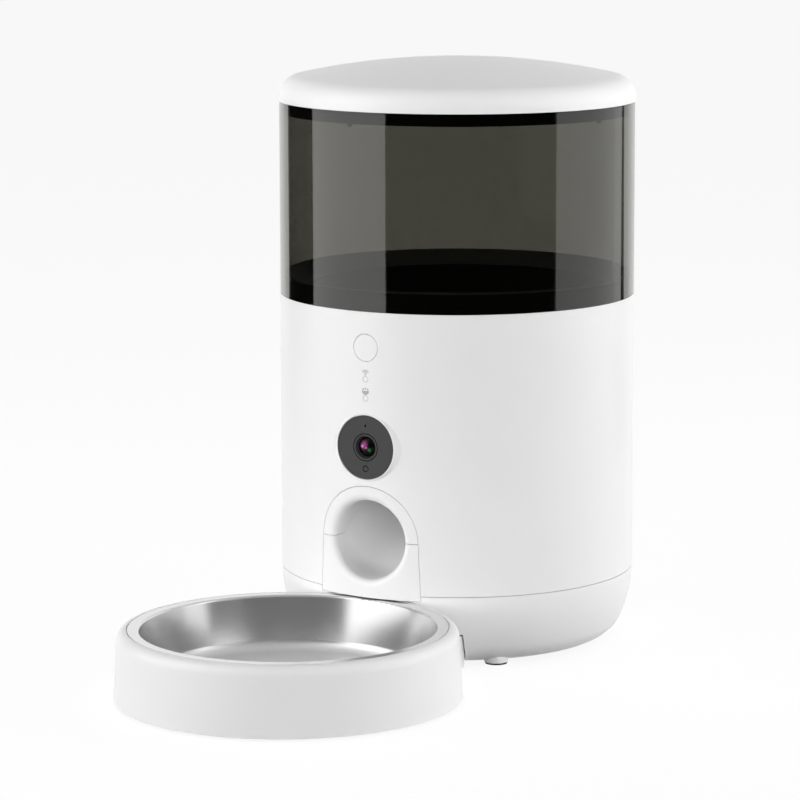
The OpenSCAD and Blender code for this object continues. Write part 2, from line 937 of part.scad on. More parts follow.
module chute_lower() {
  color(WHITE) on_body() difference() {
    union() {
      intersection() {
        chute_whole();
        parting(-1);
      }
      at_slope_ears()
        translate([-4.2, -4, -3 - seam])
          cube([8.4, 8, 3]);
    }
    at_slope_ears()
      translate([0, 0, -10])
        cylinder(r = screw_r, h = 15);
    slope_bore();
  }
}

module chute_screws() {
  color(STEEL) on_body() {
    at_slope_ears()
      translate([0, 0, 3 + seam])
        screw(screw_r - 0.05, 6.5, 2.6, 1.6);
    for (x = [-collar_ear_x, collar_ear_x])
      translate([x, duct_y, duct_top_z - 2.2])
        rotate([180, 0, 0])
          screw(screw_r - 0.05, 4.2, 2.6, 1.6);
  }
}

// Light barrier across the drop duct
module sensor_windows() {
  translate([0, duct_y, sensor_mid_z])
    rotate([0, 90, 0])
      cylinder(r = window_r, h = 80, center = true);
}

module food_sensors() {
  color(BLACK) on_body()
    for (side = [-1, 1]) {
      difference() {
        translate([side * (chute_out_r + 2.2), duct_y, sensor_mid_z])
          cube([6.4, 10, 10], center = true);
        translate([0, duct_y, sensor_mid_z - 10])
          cylinder(r = chute_out_r + 0.05, h = 20);
      }
      translate([side * (outlet_r + 1.8), duct_y, sensor_mid_z])
        rotate([0, 90, 0])
          cylinder(r = window_r - 0.05, h = 3.4, center = true);
    }
}

// Camera

module camera_plate() {
  color(DARK) on_body() difference() {
    rod_y(camera_r, plate_y, plate_y + plate_t, z = camera_z);
    rod_y(lens_ring_r + ring_groove, -far, 0, z = camera_z);
    rod_y(0.7, -far, 0, z = mic_z);
    rod_y(sensor_r + ring_groove, -far, 0, z = sensor_z);
  }
}

// Conical ring round the glass
module lens_ring() {
  depth = 2.3;
  color(DARK) on_body()
    translate([0, plate_y, camera_z])
      rotate([-90, 0, 0])
        difference() {
          cylinder(r = lens_ring_r, h = depth);
          translate([0, 0, -0.01])
            cylinder(r1 = lens_r + 0.9, r2 = lens_r + 0.05, h = depth + 0.02);
        }
}

module camera_lens() {
  glass_r = 9;
  apex_y = plate_y + 0.35;
  color("#0a0a10") on_body() intersection() {
    translate([0, apex_y + glass_r, camera_z])
      sphere(glass_r);
    rod_y(lens_r, -far, plate_y + 2.25, z = camera_z);
  }
}

module lens_barrel() {
  front_y = plate_y + 2.35;
  color(BLACK) on_body() {
    rod_y(lens_ring_r - 0.1, front_y, front_y + 1.2, z = camera_z);
    rod_y(lens_r + 1, front_y + 1, camera_board_y, z = camera_z);
  }
}

module light_sensor() {
  color("#33333a") on_body()
    rod_y(sensor_r, plate_y + 0.05, plate_y + 3.6, z = sensor_z);
}

module microphone() {
  color(BLACK) on_body()
    rod_y(2.2, seat_y - 0.05, seat_y + 1.6, z = mic_z);
}

// Ring behind the boss with four posts for the board
module camera_bracket() {
  ring_t = 2.4;
  color(BLACK) on_body() difference() {
    union() {
      rod_y(boss_r, boss_back_y, boss_back_y + ring_t, z = camera_z);
      for (x = [-1, 1])
        for (z = [-1, 1])
          rod_y(2.2, boss_back_y, camera_board_y, x * camera_pitch, camera_z + z * camera_pitch);
    }
    rod_y(11.4, -far, 0, z = camera_z);
    for (x = [-1, 1])
      rod_y(screw_r, -far, 0, x * (boss_r - 2.6), camera_z);
  }
}

module camera_board() {
  color(BOARD) on_body() difference() {
    translate([-14.5, camera_board_y, camera_z - 14.5])
      cube([29, 1.4, 29]);
    for (x = [-1, 1])
      for (z = [-1, 1])
        rod_y(1.1, -far, 0, x * camera_pitch, camera_z + z * camera_pitch);
  }
}

module camera_screws() {
  color(STEEL) on_body()
    for (x = [-1, 1])
      translate([x * (boss_r - 2.6), boss_back_y + 2.4, camera_z])
        rotate([-90, 0, 0])
          screw(screw_r - 0.05, 2.3, 2.3, 1.2);
}

// Button and lights

module button_cap() {
  color(WHITE) on_body() {
    intersection() {
      rod_y(button_r, -tank_r, button_back_y + 0.1, z = button_z);
      cylinder(r = tank_r, h = far);
    }
    rod_y(button_r + 1.6, button_back_y, button_back_y + 1.2, z = button_z);
    rod_y(2, button_back_y + 1, plunger_y, z = button_z);
  }
}

module switch_plunger() {
  color(BLACK) on_body()
    rod_y(1.7, plunger_y, plunger_y + 2, z = button_z);
}

module button_switch() {
  color("#3a3a3a") on_body() difference() {
    translate([-3, switch_front_y, button_z - 3])
      cube([6, board_y - switch_front_y, 6]);
    rod_y(2.1, -far, plunger_y + 2.4 + button_travel, z = button_z);
  }
}

module control_board() {
  color(BOARD) on_body() difference() {
    translate([-11, board_y, control_low_z])
      cube([22, board_t, control_h]);
    for (p = control_posts)
      rod_y(1, -far, 0, p.x, p.y);
  }
}

module status_leds() {
  color("#e8e8d8") on_body()
    for (z = light_z)
      translate([-1.6, board_y - 1.2, z - 1])
        cube([3.2, 1.2, 2]);
}

module light_guides() {
  color("#fafafa") on_body() intersection() {
    for (z = light_z)
      rod_y(light_r, -tank_r, board_y - 1.3, z = z);
    cylinder(r = tank_r, h = far);
  }
}

// Drive

// Outline of a straight-sided gear; phase turns it by that share of a tooth
module gear_outline(teeth, phase) {
  pitch_r = gear_m * teeth / 2;
  tip_r = pitch_r + gear_m * 0.95;
  root_r = pitch_r - gear_m * 1.25;
  half = gear_m * PI / 4 - tooth_gap / 2;
  lean = gear_m * 0.36;
  circle(root_r);
  for (i = [0:teeth - 1])
    rotate((i + phase) * 360 / teeth)
      polygon([
        [root_r - 0.3, -half - lean], [pitch_r, -half], [tip_r, -half + lean],
        [tip_r, half - lean], [pitch_r, half], [root_r - 0.3, half + lean]
      ]);
}

// Wheel below, pinion above, bored for a fixed axle
module compound_gear(wheel_phase, pinion_phase) {
  difference() {
    union() {
      linear_extrude(wheel_h)
        gear_outline(wheel_teeth, wheel_phase);
      linear_extrude(wheel_h + pinion_h)
        gear_outline(pinion_teeth, pinion_phase);
    }
    translate([0, 0, -1])
      cylinder(r = axle_r + run_gap, h = 30);
  }
}

// Rounded outline of the gearbox
module box_outline(inset) {
  r = 6 - inset;
  x1 = box_left_x + inset;
  x2 = box_right_x - inset;
  y1 = box_front_y + inset;
  y2 = box_back_y - inset;
  translate([x1 + r, y1])
    square([x2 - x1 - 2 * r, y2 - y1]);
  translate([x1, y1 + r])
    square([x2 - x1, y2 - y1 - 2 * r]);
  for (x = [x1 + r, x2 - r])
    for (y = [y1 + r, y2 - r])
      translate([x, y])
        circle(r);
}

module gearbox_case() {
  color("#d8d8d4") on_body() difference() {
    union() {
      difference() {
        translate([0, 0, case_z])
          linear_extrude(case_h - 0.1)
            box_outline(0);
        translate([0, 0, case_floor_z])
          linear_extrude(case_h)
            box_outline(box_wall);
      }
      for (p = box_posts)
        translate([p.x, p.y, case_z])
          cylinder(r = 3.4, h = case_h - 0.1);
      translate([first_axle.x, first_axle.y, case_z])
        cylinder(r = 2.6, h = first_z - case_z - 0.2);
      translate([second_axle.x, second_axle.y, case_z])
        cylinder(r = 2.4, h = second_z - case_z - 0.2);
      translate([0, 0, case_z])
        cylinder(r = 5.2, h = 6);
    }
    for (p = box_posts)
      translate([p.x, p.y, case_z - 1])
        cylinder(r = screw_r + 0.2, h = case_h + 2);
    for (p = [first_axle, second_axle])
      translate([p.x, p.y, case_z + 1])
        cylinder(r = axle_r + 0.02, h = 30);
    translate([motor_axle.x, motor_axle.y, case_z - 1])
      cylinder(r = 4.6, h = 10);
    translate([0, 0, case_z + 1])
      cylinder(r = output_journal_r + run_gap, h = 10);
  }
}

module gearbox_cover() {
  color("#d8d8d4") on_body() difference() {
    union() {
      translate([0, 0, cover_z])
        linear_extrude(cover_t)
          box_outline(0);
      translate([0, 0, cover_z])
        cylinder(r = 7.4, h = cover_t + 1.6);
    }
    for (p = box_posts)
      translate([p.x, p.y, cover_z - 1])
        cylinder(r = screw_r + 0.2, h = 10);
    for (p = [first_axle, second_axle])
      translate([p.x, p.y, cover_z - 1])
        cylinder(r = axle_r + 0.02, h = 2.6);
    translate([0, 0, cover_z - 1])
      cylinder(r = 5 + run_gap, h = 10);
  }
}

module gearbox_screws() {
  l = cover_z + cover_t + 4 - case_z;
  color(STEEL) on_body()
    for (p = box_posts)
      translate([p.x, p.y, case_z])
        rotate([180, 0, 0])
          screw(screw_r, l, 2.8, 2);
}

module drive_motor() {
  color("#9a9c9e") on_body()
    translate([motor_axle.x, motor_axle.y, case_z - 0.05]) difference() {
      union() {
        translate([0, 0, -motor_h])
          cylinder(r = motor_r, h = motor_h);
        cylinder(r = 4.2, h = 1.8);
        translate([0, 0, -motor_h - 2])
          cylinder(r = 4.5, h = 3);
      }
      translate([0, 0, -10])
        cylinder(r = 1 + run_gap, h = 20);
    }
}

module motor_shaft() {
  color(STEEL) on_body()
    translate([motor_axle.x, motor_axle.y, case_z - 9])
      cylinder(r = 1, h = 20.5);
}

module motor_pinion() {
  color("#d9b45a") on_body()
    translate([motor_axle.x, motor_axle.y, first_z - 0.4])
      difference() {
        linear_extrude(wheel_h + 0.8)
          rotate(-30)
            gear_outline(pinion_teeth, 0);
        translate([0, 0, -1])
          cylinder(r = 1.01, h = 10);
      }
}

// Each gear is turned so that a tooth of one stands in a gap of the next
module first_gear() {
  color("#eae6da") on_body()
    translate([first_axle.x, first_axle.y, first_z])
      compound_gear(150 * wheel_teeth / 360 + 0.5, -60 * pinion_teeth / 360);
}

module second_gear() {
  color("#eae6da") on_body()
    translate([second_axle.x, second_axle.y, second_z])
      compound_gear(120 * wheel_teeth / 360 + 0.5, 210 * pinion_teeth / 360);
}

// Wheel, two journals and the hexagonal dog that lifts out of the rotor with the hopper
module output_gear() {
  color("#eae6da") on_body() {
    translate([0, 0, output_z])
      linear_extrude(wheel_h)
        gear_outline(wheel_teeth, 30 * wheel_teeth / 360 + 0.5);
    translate([0, 0, case_z + 1.2])
      cylinder(r = output_journal_r, h = output_z - case_z);
    translate([0, 0, output_z])
      cylinder(r = 5, h = cover_z + cover_t + 2.2 - output_z);
    hex_bar(dog_flats, cover_z + cover_t + 2, dog_top_z - cover_z - cover_t - 2);
  }
}

module gear_axles() {
  color(STEEL) on_body()
    for (p = [first_axle, second_axle])
      translate([p.x, p.y, case_z + 1.1])
        cylinder(r = axle_r, h = cover_z + 1.5 - case_z - 1.1);
}

module position_switch() {
  color("#2b2b2b") on_body()
    translate([box_left_x + box_wall + 0.05, -5, output_z - 3])
      cube([5.6, 10, 9]);
}

// Electronics

module main_board() {
  color(BOARD) on_body() difference() {
    translate([-main_size.x / 2, main_mid_y - main_size.y / 2, main_z])
      cube(main_size);
    for (p = main_posts)
      translate([p.x, p.y, main_z - 1])
        cylinder(r = screw_r + 0.2, h = 4);
  }
}

// Shielded radio module, processor, two capacitors and two plugs
module board_parts() {
  z = main_z + main_size.z;
  color("#8c8f91") on_body() {
    translate([-26, -6, z])
      cube([18, 20, 3]);
    translate([0, 2, z])
      cube([14, 14, 1.6]);
    for (x = [20, 28])
      translate([x, 12, z])
        cylinder(r = 3.4, h = 11);
    for (x = [-20, 2])
      translate([x, 21, z])
        cube([14, 6, 6]);
  }
}

module board_screws() {
  color(STEEL) on_body() {
    for (p = main_posts)
      translate([p.x, p.y, main_z + main_size.z])
        screw(screw_r, 7, 2.4, 1.6);
    for (p = control_posts)
      translate([p.x, board_y + board_t, p.y])
        rotate([-90, 0, 0])
          screw(0.9, 5, 1.8, 1.2);
  }
}

module speaker() {
  color("#2f2f31") on_body() {
    difference() {
      rod_y(speaker_r, speaker_y - 4, speaker_y, z = speaker_z);
      translate([0, speaker_y + 10, speaker_z])
        rotate([90, 0, 0])
          cylinder(r1 = 28.6, r2 = 8, h = 12.6);
    }
    rod_y(14, speaker_y - 8, speaker_y - 3.9, z = speaker_z);
    rod_y(11, speaker_y - 15, speaker_y - 7.9, z = speaker_z);
  }
}

// Base

// Points on an arc, from one angle to another
function arc_points(c, r, from, to, steps) = [
  for (i = [0:steps])
    let (t = from + (to - from) * i / steps)
    c + r * [cos(t), sin(t)]
];

// Outline of the base, moved inwards by inset, up to top_z. The arcs share the point where
// they meet, so that the solid has one clean edge there.
module base_outline(inset, top_z) {
  side_r = side_curve_r - inset;
  end_turn = asin((min(top_z, side_c.y) - side_c.y) / side_r);
  corner = arc_points([corner_cx, corner_cz], base_corner_r - inset, -90, -arc_turn, 18);
  side = arc_points(side_c, side_r, -arc_turn, end_turn, 10);
  polygon(concat(
    [[0, top_z], [0, underside_z + inset]],
    corner,
    [for (i = [1:10]) side[i]],
    top_z > side_c.y ? [[side_c.x + side_r, top_z]] : []
  ));
}

module base_solid(inset, top_z) {
  rotate_extrude($fn = 180)
    base_outline(inset, top_z);
}

// Plan of the tongue, grown on all sides: straight, then drawn in towards the body's axis, so
// that the holder centres itself in the dock
module tongue_plan(grow, back_y) {
  front_y = 50 - bowl_reach;
  root = [tongue_half, 15.7 - tank_r];
  bend = [tongue_half - 1.9, 22.4 - tank_r];
  end = bend * (back_y / bend.y);
  out = grow * norm(bend) / -bend.y;
  polygon([
    [root.x + grow, front_y], root + [grow, 0], bend + [out, 0], [end.x + out, back_y + grow],
    [-end.x - out, back_y + grow], [-bend.x - out, bend.y], [-root.x - grow, root.y],
    [-root.x - grow, front_y]
  ]);
}

// Space of the dock and the nest, grown by their wall. The nest follows the holder's form.
module dock_space(grow) {
  translate([0, 0, -10])
    linear_extrude(dock_z + grow + 10)
      tongue_plan(slide_gap + grow, dock_back_y - slide_gap);
  e = holder_draft;
  r = holder_round + nest_gap + grow;
  c = [holder_edge_x, holder_edge_z];
  translate([0, -bowl_reach, 0])
    rotate_extrude($fn = 180)
      polygon([
        [0, -10], [c.x + r / cos(e) + (c.y + 10) * tan(e), -10],
        for (i = [0:5]) c + r * [cos(e + i * (90 - e) / 5), sin(e + i * (90 - e) / 5)],
        [0, c.y + r]
      ]);
}

module bay_block() {
  flange_top_z = door_top_z + 2.8;
  translate([-door_l / 2 - 4.6, -door_w / 2 - 2.4, underside_z])
    cube([door_l + 9.2, door_w + 4.8, flange_top_z - underside_z]);
  translate([-bay_l / 2 - bay_wall, -bay_w / 2 - bay_wall, underside_z])
    cube([bay_l + 2 * bay_wall, bay_w + 2 * bay_wall, roof_z - underside_z]);
}

module bay_space() {
  gap = 0.3;
  translate([-bay_l / 2, -bay_w / 2, -1])
    cube([bay_l, bay_w, bay_top_z + 1]);
  translate([-door_l / 2 - gap, -door_w / 2 - gap, -1])
    cube([door_l + 2 * gap, door_w + 2 * gap, door_top_z + gap + 1]);
  translate([0, hinge_y, hinge_z])
    rotate([0, 90, 0])
      cylinder(r = hinge_pin_r + 0.05, h = door_l + 2 * hinge_pin_l + 0.6, center = true);
  translate([0, door_w / 2, -1])
    cylinder(r = 8, h = underside_z + 2.4);
}

// What stays standing inside the base: dock walls, bosses and the roots of the lip
module base_kept() {
  dock_space(2.2);
  around(foot_turn, foot_reach)
    cylinder(r = foot_r + 1.8, h = 8);
  around(base_screw_turn, base_screw_reach)
    cylinder(r = 4.2, h = far);
  rod_y(9.2, jack_face_y - 7, tank_r + 5, z = jack_z);
}

// Lip that locates the body, with a gap for the arch panel at the front
module base_lip() {
  lip_r1 = body_in_r - 0.2;
  lip_in = body_in_r - 2;
  gap_x = arch_r + arch_spread + 3;
  difference() {
    union() {
      ring(body_in_r + 0.8, lip_in, seam_z - 8, 8 - seam / 2);
      ring(lip_r1, lip_in, seam_z - 1, 5.8);
    }
    translate([-gap_x, -tank_r - 5, seam_z - 9])
      cube([2 * gap_x, 30, 20]);
  }
}

module base_pan() {
  color(WHITE) on_body() difference() {
    union() {
      difference() {
        base_solid(0, pan_top_z);
        difference() {
          base_solid(base_wall, far);
          base_kept();
        }
        dock_space(0);
      }
      base_lip();
      around(foot_turn, foot_reach)
        translate([0, 0, foot_boss_z])
          cylinder(r = foot_r + 0.4, h = 6);
      bay_block();
      for (p = main_posts)
        translate([p.x, p.y, roof_z - 1])
          cylinder(r = 3, h = main_z - roof_z + 1);
    }
    bay_space();
    intersection() {
      prism_y(-tank_r - 2, -60)
        arch_outline(seam);
      ring(far, tank_r - panel_t - 0.3, 0, far);
    }
    around(foot_turn, foot_reach)
      translate([0, 0, -1])
        cylinder(r = foot_r + 0.05, h = foot_boss_z + 1.8);
    around(base_screw_turn, base_screw_reach) {
      translate([0, 0, -1])
        cylinder(r = 3.2, h = base_head_z + 1);
      cylinder(r = screw_r + 0.3, h = far);
    }
    rod_y(7, jack_face_y, far, z = jack_z);
    rod_y(3.6, jack_face_y - 8, far, z = jack_z);
    for (p = main_posts)
      translate([p.x, p.y, roof_z + 1])
        cylinder(r = screw_r + 0.05, h = 10);
  }
}

module base_screws() {
  color(STEEL) on_body()
    around(base_screw_turn, base_screw_reach)
      translate([0, 0, base_head_z])
        rotate([180, 0, 0])
          screw(screw_r, 19, 2.9, 2.4);
}

module rubber_feet() {
  color("#1a1a1a") on_body()
    around(foot_turn, foot_reach)
      cylinder(r = foot_r, h = foot_boss_z + 0.8);
}

// Round bead on the hinge side, so that the door swings in its recess
module battery_door() {
  color(WHITE) on_body() {
    translate([-door_l / 2, hinge_y, underside_z])
      cube([door_l, door_w / 2 - hinge_y, door_t]);
    translate([0, hinge_y, hinge_z])
      rotate([0, 90, 0]) {
        cylinder(r = door_t / 2, h = door_l, center = true);
        cylinder(r = hinge_pin_r, h = door_l + 2 * hinge_pin_l, center = true);
      }
  }
}

// A flat plate with a dimple at one end of each cell, and a cone at the other
module battery_contacts() {
  plate = [16, 0.4, 16];
  low_z = door_top_z + cell_d / 2 - 7.4;
  mid_z = low_z + plate.z / 2;
  color("#c9cbb8") on_body()
    for (i = [0:cells - 1])
      translate([(i - (cells - 1) / 2) * cell_d, 0, 0]) {
        translate([-plate.x / 2, -bay_w / 2, low_z])
          cube(plate);
        rod_y(3, -bay_w / 2 + 0.3, -bay_w / 2 + 1.8, z = mid_z);
        translate([-plate.x / 2, bay_w / 2 - plate.y, low_z])
          cube(plate);
        translate([0, bay_w / 2 - plate.y + 0.1, mid_z])
          rotate([90, 0, 0])
            cylinder(r1 = 6, r2 = 3, h = 3.2);
      }
}

module power_jack() {
  color(BLACK) on_body() {
    difference() {
      union() {
        rod_y(3.5, jack_face_y - 8, jack_face_y - 0.2, z = jack_z);
        translate([-5, jack_face_y - 17, jack_z - 5])
          cube([10, 9.8, 10]);
      }
      rod_y(jack_r, jack_face_y - 10, far, z = jack_z);
    }
    rod_y(1, jack_face_y - 10.5, jack_face_y - 1.2, z = jack_z);
  }
}

// Bowl and holder

// Outline of the holder from low_z up, moved inwards by inset, with the rounded top edge
module holder_outline(inset, low_z) {
  e = holder_draft;
  r = holder_round - inset;
  c = [holder_edge_x, holder_edge_z];
  foot_x = holder_r - inset / cos(e) + (holder_foot_z - low_z) * tan(e);
  polygon([[0, low_z], [foot_x, low_z], c + r * [cos(e), sin(e)], c + [0, r], [0, c.y + r]]);
  intersection() {
    translate(c)
      circle(r);
    polygon([c, c + 3 * r * [cos(e), sin(e)], c + 3 * [r, r], c + [0, 3 * r]]);
  }
}

module holder_solid(inset, low_z) {
  rotate_extrude($fn = 180)
    holder_outline(inset, low_z);
}

// Block of the tongue from low_z up, from inside the holder to its back end
module tongue_block(inset, low_z) {
  translate([0, bowl_reach, low_z])
    linear_extrude(tongue_z - inset - low_z)
      tongue_plan(-inset, tongue_back_y);
}

// Hollow under the holder and under the tongue, with the bowl's skirt, its ribs and the pad
// bosses left standing
module holder_hollow(ledge_z) {
  skirt_low_z = 22;
  difference() {
    rotate_extrude($fn = 180)
      difference() {
        intersection() {
          holder_outline(holder_wall, -5);
          translate([0, -2])
            square([far, ledge_z + 2]);
        }
        translate([0, skirt_low_z])
          square([skirt_in_r + 2, far]);
      }
    for (a = [0:30:330])
      rotate([0, 0, a + 15])
        translate([skirt_in_r - 1, -0.8, skirt_low_z])
          cube([20, 1.6, 40]);
    around(pad_turn, pad_reach)
      translate([0, 0, -5])
        cylinder(r = pad_r + 1.8, h = 13);
  }
  difference() {
    tongue_block(2.2, -2);
    translate([0, 0, -3])
      cylinder(r = holder_r - 0.4, h = 60);
  }
}

module bowl_holder() {
  color(WHITE) on_bowl() difference() {
    union() {
      holder_solid(0, holder_foot_z);
      tongue_block(0, holder_foot_z);
    }
    holder_hollow(rebate_z - 2.3);
    translate([0, 0, -1])
      cylinder(r = skirt_in_r, h = 60);
    translate([0, 0, rebate_z])
      cylinder(r = rebate_r, h = 60);
    around(pad_turn, pad_reach)
      translate([0, 0, -1])
        cylinder(r = pad_r + 0.05, h = holder_foot_z + 1.8);
  }
}

module holder_pads() {
  color("#1a1a1a") on_bowl()
    around(pad_turn, pad_reach)
      cylinder(r = pad_r, h = holder_foot_z + 0.8);
}

// Spun steel bowl of one thickness: lip, bend, wall, corner and floor
module steel_bowl() {
  lip_z = holder_z - 0.2;
  bend_r = 1.5;
  bend_c = [bowl_in_r + bend_r, lip_z - bend_r];
  inwards = [-cos(bowl_draft), sin(bowl_draft)];
  wall_top = bend_c + bend_r * inwards;
  wall_back = bend_c + (bend_r - steel_t) * inwards;
  corner_z = bowl_floor_z + bowl_corner_r;
  corner_c = [
    wall_top.x - (wall_top.y - corner_z) * tan(bowl_draft) - bowl_corner_r / cos(bowl_draft),
    corner_z
  ];
  color(STEEL) on_bowl()
    rotate_extrude($fn = 180)
      difference() {
        bowl_body(corner_c, inwards, steel_t, [
          wall_back, [bend_c.x, lip_z - steel_t], [lip_r, lip_z - steel_t],
          [lip_r, lip_z], [0, lip_z]
        ]);
        bowl_body(corner_c, inwards, 0, [wall_top, [wall_top.x, lip_z + 1], [0, lip_z + 1]]);
        translate(bend_c)
          circle(bend_r - steel_t);
        difference() {
          translate([wall_top.x - 0.5, wall_top.y])
            square([bend_c.x - wall_top.x + 0.5, bend_r + 1]);
          translate(bend_c)
            circle(bend_r);
        }
      }
}

// Floor, corner and wall as an area, grown by the sheet's thickness, closed along rim
module bowl_body(corner_c, inwards, grow, rim) {
  r = bowl_corner_r + grow;
  polygon(concat(
    [[0, bowl_floor_z - grow], [corner_c.x, bowl_floor_z - grow], corner_c - r * inwards], rim
  ));
  intersection() {
    translate(corner_c)
      circle(r);
    polygon([corner_c, corner_c - [0, 3 * r], corner_c + [3 * r, -3 * r], corner_c - 3 * r * inwards]);
  }
}

lid_shell();
lid_plug();
lid_seal();
desiccant_tray();
desiccant_cover();
hopper_shell();
hopper_floor();
floor_gasket();
strike_baffle();
rotor();
agitator();
rotor_clip();
body_shell();
deck();
deck_screws();
chute_upper();
chute_lower();
chute_screws();
food_sensors();
camera_plate();
lens_ring();
camera_lens();
lens_barrel();
light_sensor();
microphone();
camera_bracket();
camera_board();
camera_screws();
button_cap();
switch_plunger();
button_switch();
control_board();
status_leds();
light_guides();
gearbox_case();
gearbox_cover();
gearbox_screws();
drive_motor();
motor_shaft();
motor_pinion();
first_gear();
second_gear();
output_gear();
gear_axles();
position_switch();
main_board();
board_parts();
board_screws();
speaker();
base_pan();
base_screws();
rubber_feet();
battery_door();
battery_contacts();
power_jack();
bowl_holder();
holder_pads();
steel_bowl();
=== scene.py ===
"""Looks of an automatic pet feeder with a camera, made piece by piece as the feeder goes together.
Lengths are in metres. The feeder stands on z = 0 and faces -Y, with its bowl in front of it.
"""

import json
import math

import bpy
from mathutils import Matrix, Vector

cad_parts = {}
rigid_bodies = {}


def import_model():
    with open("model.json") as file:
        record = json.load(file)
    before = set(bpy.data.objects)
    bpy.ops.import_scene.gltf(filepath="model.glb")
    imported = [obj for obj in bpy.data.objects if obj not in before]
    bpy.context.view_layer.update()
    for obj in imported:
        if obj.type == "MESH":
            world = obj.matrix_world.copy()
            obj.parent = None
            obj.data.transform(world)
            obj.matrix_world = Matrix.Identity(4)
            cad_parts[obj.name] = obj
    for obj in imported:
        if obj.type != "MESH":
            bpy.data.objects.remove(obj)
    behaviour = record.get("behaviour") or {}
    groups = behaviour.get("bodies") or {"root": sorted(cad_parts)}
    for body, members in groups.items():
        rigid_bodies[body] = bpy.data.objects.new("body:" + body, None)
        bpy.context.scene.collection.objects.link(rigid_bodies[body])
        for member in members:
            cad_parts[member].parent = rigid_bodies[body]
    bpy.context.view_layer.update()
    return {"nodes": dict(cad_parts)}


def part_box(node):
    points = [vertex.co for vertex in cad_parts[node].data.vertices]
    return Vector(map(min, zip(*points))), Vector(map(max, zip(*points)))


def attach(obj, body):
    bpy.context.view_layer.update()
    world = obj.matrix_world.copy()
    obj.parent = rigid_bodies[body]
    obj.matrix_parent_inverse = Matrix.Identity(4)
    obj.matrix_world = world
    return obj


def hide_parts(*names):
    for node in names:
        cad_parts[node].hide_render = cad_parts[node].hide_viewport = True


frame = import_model()
cad = frame["nodes"]
MM = 0.001
bpy.ops.object.select_all(action="DESELECT")


# ---- View
# The photograph was taken with a long lens, from the right of the feeder's front and a little
# above its lid. It was then cut to a square, so the optical axis isn't in the picture's middle.

picture_px = 800
focal_px = 3682.4
axis_from_left_px = 457.25
sensor_width_mm = 36

view_data = bpy.data.cameras.new("view")
view_data.sensor_width = sensor_width_mm
view_data.lens = focal_px / picture_px * sensor_width_mm
view_data.shift_x = (picture_px / 2 - axis_from_left_px) / picture_px
view_data.clip_end = 40
view = bpy.data.objects.new("view", view_data)
view.location = (1.0075, -1.6612, 0.4641)
view.rotation_euler = (math.radians(90 - 9.378), 0, math.radians(30))
bpy.context.scene.collection.objects.link(view)
bpy.context.scene.camera = view
bpy.context.scene.view_settings.view_transform = "Standard"


# ---- Studio
# A white backdrop and floor, a tall soft box on each side and a weak lamp on the right. The
# boxes are the upright pale panels in the smoked hopper and the bright patches in the bowl, and
# the darker side of the room with the camera gives the hopper and the steel their depth.

def linear(hex_colour):
    """An sRGB hex colour as the linear RGBA that a socket takes."""
    parts = [int(hex_colour[i:i + 2], 16) / 255 for i in (1, 3, 5)]
    return [c / 12.92 if c <= 0.04045 else ((c + 0.055) / 1.055) ** 2.4 for c in parts] + [1.0]


def add(tree, kind, settings=None, inputs=None):
    """Adds a node, sets its properties and fills its sockets with values or links."""
    node = tree.nodes.new(kind)
    for key, value in (settings or {}).items():
        setattr(node, key, value)
    for key, value in (inputs or {}).items():
        if isinstance(value, bpy.types.NodeSocket):
            tree.links.new(value, node.inputs[key])
        else:
            node.inputs[key].default_value = value
    return node


def bare_material(name):
    """A new material and its node tree, which is emptied."""
    material = bpy.data.materials.new(name)
    material.use_nodes = True
    material.node_tree.nodes.clear()
    return material, material.node_tree


# The backdrop stands behind the feeder and spans 84 degrees there. Gloss shows it, and shows
# the walls and ceiling in front dimly, by how far up it looks.
backdrop_turn = math.radians(117.5)
backdrop_half = math.radians(42)
backwards = (math.cos(backdrop_turn), math.sin(backdrop_turn), 0)
edge = math.cos(backdrop_half)
edge_blur = 0.03

# Dull surfaces get most of their light from low down all round, and more of it on the right.
# What shows through the smoked tube never falls below an even grey.
low_strength = 3.95
high_strength = 0.05
bright_side_turn = math.radians(15)
bright_side_gain = 1.4
through_smoke = 0.35

room = bpy.data.worlds.new("white_room")
bpy.context.scene.world = room
room.use_nodes = True
tree = room.node_tree
tree.nodes.clear()
way = add(tree, "ShaderNodeTexCoord").outputs["Generated"]
upwards = add(tree, "ShaderNodeSeparateXYZ", None, {0: way}).outputs[2]
towards_back = add(tree, "ShaderNodeVectorMath", {"operation": "DOT_PRODUCT"},
                   {0: way, 1: backwards})
backdrop = add(tree, "ShaderNodeMapRange", None,
               {0: towards_back.outputs["Value"], 1: edge - edge_blur, 2: edge + edge_blur})
front_low = add(tree, "ShaderNodeMapRange", None, {0: upwards, 1: 0.1, 2: 0.22, 3: 0.03, 4: 0.22})
front_high = add(tree, "ShaderNodeMapRange", None, {0: upwards, 1: 0.3, 2: 0.7, 3: 0.0, 4: 0.28})
front = add(tree, "ShaderNodeMath", {"operation": "ADD"},
            {0: front_low.outputs[0], 1: front_high.outputs[0]})
mirrored = add(tree, "ShaderNodeMath", {"operation": "MAXIMUM"},
               {0: backdrop.outputs[0], 1: front.outputs[0]})
through = add(tree, "ShaderNodeMath", {"operation": "MAXIMUM"},
              {0: mirrored.outputs[0], 1: through_smoke})
low_fill = add(tree, "ShaderNodeMapRange", {"interpolation_type": "SMOOTHSTEP"},
               {0: upwards, 1: -0.05, 2: 0.47, 3: low_strength, 4: high_strength})
rightwards = add(tree, "ShaderNodeVectorMath", {"operation": "DOT_PRODUCT"},
                 {0: way, 1: (math.cos(bright_side_turn), math.sin(bright_side_turn), 0)})
right_fill = add(tree, "ShaderNodeMapRange", None,
                 {0: rightwards.outputs["Value"], 1: 0.0, 2: 1.0, 3: 1.0, 4: bright_side_gain})
